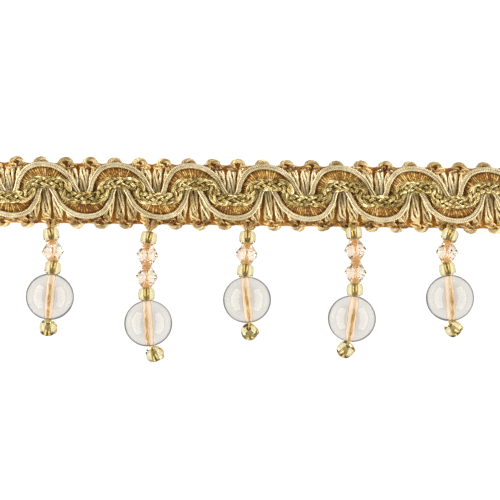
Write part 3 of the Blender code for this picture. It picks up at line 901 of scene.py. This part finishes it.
def round_shape():
    """A round bead: an arc, a little shorter along its hole, with small chamfers at the hole. Its coated
    wall is the bore."""
    bore, end, side = bead_sizes("round")
    first = math.asin((bore + ROUND_CHAMFER[0]) / side)
    angle = np.linspace(math.pi - first, first, ROUND_ROWS)
    height = end * np.cos(angle) / math.cos(first)
    profile, coated = bored(zip(side * np.sin(angle), height), bore, end, ROUND_CHAMFER[1])
    return lathe(profile, ROUND_SEGMENTS), coated


def bicone_shape():
    """A cut bicone: two rows of small facets on each half, each row turned half a facet from the next,
    with small flat lips. Between its corners a flat side comes nearer to the axis, by the cosine of half
    a facet. Its coated walls are the lips, the facets beside them to the rim and both ends of the bore."""
    bore, end, side = bead_sizes("bicone")
    lip, belt = bore + BICONE_LIP, BICONE_BELT / 2
    level, coat = end * BICONE_SHOULDER, end * BICONE_BORE_COAT
    shoulder = side - (side - lip) * (level - belt) / (end - belt) - BICONE_DIP
    profile = [(bore, -end), (lip, -end), (lip, -end), (shoulder, -level), (side, -belt), (side, belt),
               (shoulder, level), (lip, end), (lip, end), (bore, end), (bore, coat), (bore, -coat)]
    rings = lathe(profile, 2 * BICONE_FACETS)
    lips, rims, shoulders, belts = (1, 8), (2, 7), (3, 6), (4, 5)
    flat = math.cos(math.pi / BICONE_FACETS)
    rings[::2, lips + belts, :2] *= flat
    rings[1::2, shoulders, :2] *= flat
    rings[:, rims] = rings[:, lips] + (rings[:, shoulders] - rings[:, lips]) * BICONE_RIM
    return rings, [0, 1, 7, 8, 9, 11]


def make_bead(kind, shape, node, direction, middle, materials):
    """One bead: its shape has Z along the hole, and is turned to the direction as the part's is."""
    rings, coated = shape
    turn = np.array(Vector(direction).to_track_quat("Z", "Y").to_matrix())
    wall = np.zeros(rings.shape[1], dtype=int)
    wall[coated] = 1
    block = dict(rings=(rings @ turn.T + middle)[None], closed=True, material=wall)
    name = f"{node}_{materials[0].name}"
    make_piece(name, [block], materials, [node], smooth=kind != "bicone")


def make_drops(made):
    """Every drop's beads, rising evenly from the first to the round one on the table, and its thread."""
    shapes = {"seed": seed_shape(), "bicone": bicone_shape(), "round": round_shape()}
    for number, drop in enumerate(DROPS, start=1):
        beads = drop["beads"]
        counts = {}
        nodes = []
        for kind, _ in beads:
            counts[kind] = counts.get(kind, 0) + 1
            nodes.append(f"drop_{number}_{kind}_{counts[kind]}")
        middles = [middle_of(node) for node in nodes]
        middles[-1][2] = ACROSS["round"] / 2
        lengths = [ALONG[kind] for kind, _ in beads]
        climb = middles[-1][2] - math.sin(ROUND_RISE) * lengths[-1] / 2 - middles[0][2]
        rise = math.asin(climb / (sum(lengths[:-1]) - lengths[0] / 2))
        ways = [way(math.radians(lean), ROUND_RISE if kind == "round" else rise) for kind, lean in beads]
        for (kind, _), node, direction, middle in zip(beads, nodes, ways, middles):
            make_bead(kind, shapes[kind], node, direction, middle, made[kind])
        hole = unit(np.array(drop["end_hole"]))
        end_node = f"drop_{number}_end_seed"
        end_middle = middle_of(end_node)
        make_bead("seed", shapes["seed"], end_node, hole, end_middle, made["seed"])
        first_mouth = middles[0] - ways[0] * lengths[0] / 2
        mouths = [middle + step * length / 2 for middle, step, length in zip(middles, ways, lengths)]
        aside = unit(np.array([1.0, 0.0, 0.0]) - hole * hole[0])
        turn = [end_middle + hole * step[0] + aside * step[1] for step in TURN_ROUTE]
        back = mouths[-1] + (turn[0] - mouths[-1]) * THREAD_END[0] + aside * THREAD_END[1]
        straight = [(first_mouth[0], BAND_Y + THREAD_ROOT_Y, THREAD_ROOT_LEVEL),
                    (first_mouth[0], BAND_Y + THREAD_OVER_Y, THREAD_OVER_LEVEL), first_mouth, *mouths]
        points = np.array([*straight, *turn, back])
        make_thread(number, points, len(straight), np.cross(hole, aside), made["thread"])


def make_thread(number, points, straight, turn_normal, material):
    """A doubled thread: two strands beside a smooth line through the points. They start fanned out over
    the heading, meet at the first bead's mouth, and wind round the line from there. Up to the last mouth
    they lie in planes square to X, and round the end seed they lie in the plane of the turn."""
    knots = distances(points)
    first_mouth, next_mouth, last_mouth, turn_start = knots[[2, 3, straight - 1, straight]]
    places = np.linspace(0, knots[-1], round(knots[-1] / STRAND_STEP))
    path = smooth_curve(knots, points, places)
    along = distances(path)
    turning = ease(places, last_mouth, turn_start)
    planes = turning[:, None]
    reference = unit(np.array([1.0, 0.0, 0.0]) * (1 - planes) + turn_normal * planes)
    run = unit(np.gradient(path, axis=0))
    right = unit(np.cross(run, reference))
    up = np.cross(right, run)
    root = np.clip(1 - places / first_mouth, 0, 1)
    spread = (STRAND_SPREAD + (STRAND_TURN_SPREAD - STRAND_SPREAD) * turning
              + (STRAND_ROOT_SPREAD - STRAND_SPREAD) * root)
    radius = (STRAND_RADIUS + (STRAND_TURN_RADIUS - STRAND_RADIUS) * turning
              + (STRAND_ROOT_RADIUS - STRAND_RADIUS) * ease(root, 0.0, STRAND_ROOT_FADE))
    section = twisted_section(radius, STRAND_SIDES, STRAND_RELIEF, along, STRAND_FIBRE_PITCH)
    tone = STRAND_TONES[0] + (STRAND_TONES[1] - STRAND_TONES[0]) * ease(places, 0.0, next_mouth)
    wound = math.tau * np.maximum(places - first_mouth, 0) / STRAND_TWIST_PITCH
    blocks = []
    for start in (math.pi / 2, 3 * math.pi / 2):
        phase = (wound + start)[:, None]
        middle = path + (right * np.cos(phase) + up * np.sin(phase)) * spread[:, None]
        blocks.append(one_solid(sweep(middle, section, reference), along, tone))
    name, node = f"drop_{number}_doubled_thread", f"drop_{number}_thread"
    make_piece(name, blocks, [material], [node])


def make_materials():
    """Each material is named for what the real one is and how it was made."""
    made = {}
    # Bright rayon in soft twisted plies: long filaments give narrow highlights along each ply.
    made["legs"] = yarn_material(
        "twisted_rayon_yarn", ("#a08654", "#ecd8a2", "#fff4d6"),
        roughness=0.28, filaments=4, pitch=1.0, Metallic=0.2)
    # The same rayon dyed amber and tightly twisted: its flecks run from cream to brown, partly by uneven
    # dye from stitch to stitch and partly as painted highlights and shade round each stitch.
    made["chain"] = yarn_material(
        "amber_chain_thread", ("#5e2e02", "#b0802e", "#f0d090"),
        roughness=0.30, filaments=3, pitch=0.8, patch=0.5)
    # Knitted amber ground cloth, matt and in shade between the legs: its dark amber is partly its own
    # colour and partly painted shade.
    made["cloth"] = yarn_material(
        "amber_knitted_cloth", ("#864a0e", "#be8022", "#e4ac50"),
        roughness=0.6, filaments=60, pitch=1.1, patch=0.6)
    # Ribs of amber rayon laid side by side, uneven in dye from rib to rib, with painted shade between the
    # ribs and at the edges and painted glints on them.
    made["ribbon"] = yarn_material(
        "amber_ribbed_rayon", ("#683a00", "#a4741c", "#eacd86"),
        roughness=0.36, filaments=20, pitch=0.5, patch=0.35, **{"Specular IOR Level": 0.3})
    # Rayon thread wrapped closely round two cotton cores: a satin sheen across the whole cord.
    made["cord"] = yarn_material(
        "rayon_wrapped_cord", ("#9a8a64", "#dacca8", "#efe6cc"),
        roughness=0.25, filaments=1, pitch=CORD_WRAP, Metallic=0.6)
    # Metallised film spun flat round a fibre core: broad bright glints and olive sides.
    made["plait"] = yarn_material(
        "metallised_green_gold_thread", ("#4c3c12", "#a08a48", "#ecdcac"),
        roughness=0.25, filaments=4, pitch=1.6, Metallic=0.5)
    # Polyester sewing thread dyed peach, with little shine.
    made["thread"] = yarn_material(
        "peach_polyester_thread", ("#6a4410", "#b08c4a", "#e2c48a"),
        roughness=0.45, filaments=3, pitch=0.7)
    # Drawn glass tube, cut and fire-polished to a bright gloss, with a painted dark rim where it is seen
    # edge on.
    seed = glass_material(
        "pale_yellow_drawn_glass", ((0.0, "#e6daaa"), (0.64, "#e4d8a6"), (0.88, "#94905c")), ior=1.52)
    # A coat of gold foil inside the seeds' holes, which gleams through the glass.
    lining, tree, shader = new_material("gold_foil_lining")
    set_inputs(tree, shader, {"Base Color": linear("#a89c7a"), "Metallic": 1.0, "Roughness": 0.28})
    made["seed"] = [seed, lining]
    # Clear acrylic cut to small facets, each a flash of its own, with painted shade where it is seen edge
    # on.
    facets = glass_material(
        "faceted_clear_acrylic", ((0.0, "#eee0ce"), (0.64, "#eee0ce"), (0.86, "#98867c")), ior=1.50)
    # Peach lacquer, thin enough for light to come through it, over the lips and into the holes.
    mouth = coat_material("thin_peach_mouth_coat", "#dab68a", "#c08e58", clearness=0.6)
    made["bicone"] = [facets, mouth]
    # Clear acrylic moulded and tumbled round: an almost white ball, with a painted lighter ring inside its
    # rim and a painted thin dark outline.
    ball = glass_material(
        "moulded_clear_acrylic",
        ((0.0, "#d4d1ca"), (0.12, "#d9d6d0"), (0.36, "#f0efeb"), (0.62, "#f0eeea"), (0.74, "#2c2420")),
        ior=1.49, roughness=0.06)
    # The same lacquer, paler, along the whole hole, where the ball magnifies it to a column.
    hole = coat_material("pale_peach_hole_coat", "#fcf0e2", "#cc8c54", clearness=0.55)
    made["round"] = [ball, hole]
    return made


def make_table():
    """A white table, lit from below. Where it is seen, also through beads, it is brighter than the light
    that it casts."""
    mesh = bpy.data.meshes.new("table")
    corners = [(x * TABLE_HALF, y * TABLE_HALF, 0) for x, y in ((-1, -1), (1, -1), (1, 1), (-1, 1))]
    mesh.from_pydata(corners, [], [(0, 1, 2, 3)])
    material, tree, shader = new_material("white_acrylic_table")
    path = add_node(tree, "ShaderNodeLightPath")
    seen = add_node(tree, "ShaderNodeMath",
                    {0: path.outputs["Is Camera Ray"], 1: path.outputs["Is Transmission Ray"]},
                    operation="MAXIMUM")
    glow = add_node(tree, "ShaderNodeMath", {0: seen.outputs[0], 1: TABLE_GLOW_SEEN, 2: TABLE_GLOW_CAST},
                    operation="MULTIPLY_ADD")
    set_inputs(tree, shader, {"Base Color": (TABLE_GREY, TABLE_GREY, TABLE_GREY, 1.0), "Roughness": 0.6,
                              "Emission Strength": glow.outputs[0], "Emission Color": (1.0, 1.0, 1.0, 1.0)})
    mesh.materials.append(material)
    add_object("table", mesh)


def add_lamp(name, azimuth, power):
    """A long soft lamp that faces the part, its long side level."""
    lamp = bpy.data.lights.new(name, "AREA")
    lamp.shape = "RECTANGLE"
    lamp.size, lamp.size_y = LAMP_SIZE
    lamp.energy = power
    lamp.color = LAMP_COLOUR
    item = add_object(name, lamp)
    level, turn = math.cos(LAMP_LIFT), math.radians(azimuth)
    place = Vector((math.cos(turn) * level, math.sin(turn) * level, math.sin(LAMP_LIFT))) * LAMP_DISTANCE
    item.location = place
    item.rotation_euler = (-place).to_track_quat("-Z", "Y").to_euler()


def add_lights():
    """Two long soft lamps at the left and right, under a dim ceiling with a brighter horizon."""
    add_lamp("strip_left", azimuth=180, power=4.4)
    add_lamp("strip_right", azimuth=0, power=4.1)
    world = bpy.data.worlds.new("studio")
    world.use_nodes = True
    tree = world.node_tree
    place = add_node(tree, "ShaderNodeTexCoord")
    height = add_node(tree, "ShaderNodeSeparateXYZ", {0: place.outputs["Generated"]})
    colour = add_ramp(tree, height.outputs["Z"], ((0.0, "#fff8ea"), (0.80, "#ece2d0"), (0.97, "#46433e")))
    set_inputs(tree, tree.nodes["Background"], {"Color": colour, "Strength": CEILING_STRENGTH})
    bpy.context.scene.world = world


def add_camera():
    """Straight above with a long lens, aimed and turned so that the band falls where the photo has it."""
    across, down = PHOTO_PIXELS / 2 - BAND_PIXEL[0], PHOTO_PIXELS / 2 - BAND_PIXEL[1]
    cosine, sine = math.cos(PHOTO_TURN), math.sin(PHOTO_TURN)
    aim_x = (across * cosine + down * sine) * PIXEL
    aim_y = BAND_Y + (across * sine - down * cosine) * PIXEL
    distance = PHOTO_PIXELS * PIXEL * CAMERA_LENS / CAMERA_SENSOR + BAND_LEVEL
    camera = bpy.data.cameras.new("camera")
    camera.lens = CAMERA_LENS
    camera.sensor_width = CAMERA_SENSOR
    camera.clip_start = CAMERA_CLIP
    item = add_object("camera", camera)
    item.location = (aim_x * MM, aim_y * MM, distance * MM)
    item.rotation_euler = (0.0, 0.0, PHOTO_TURN)
    bpy.context.scene.camera = item


def dress():
    """Make every piece and the studio round it."""
    made = make_materials()
    legs = make_legs(made["legs"])
    chain = make_chain(made["chain"])
    cloth = make_cloth(made["cloth"])
    upper = make_cord("upper_wrapped_cord", upper_cord_line, made["cord"], "upper_edge_cord")
    lower = make_cord("lower_wrapped_cord", lower_cord_line, made["cord"], "lower_edge_cord")
    ribbon = make_ribbon(made["ribbon"])
    plait = make_plait(made["plait"])
    make_drops(made)
    make_table()
    add_lights()
    add_camera()
    scene = bpy.context.scene
    scene.view_settings.view_transform = "Standard"
    scene.cycles.transparent_max_bounces = 24
    scene.cycles.transmission_bounces = 16
    scene.cycles.max_bounces = 20


dress()
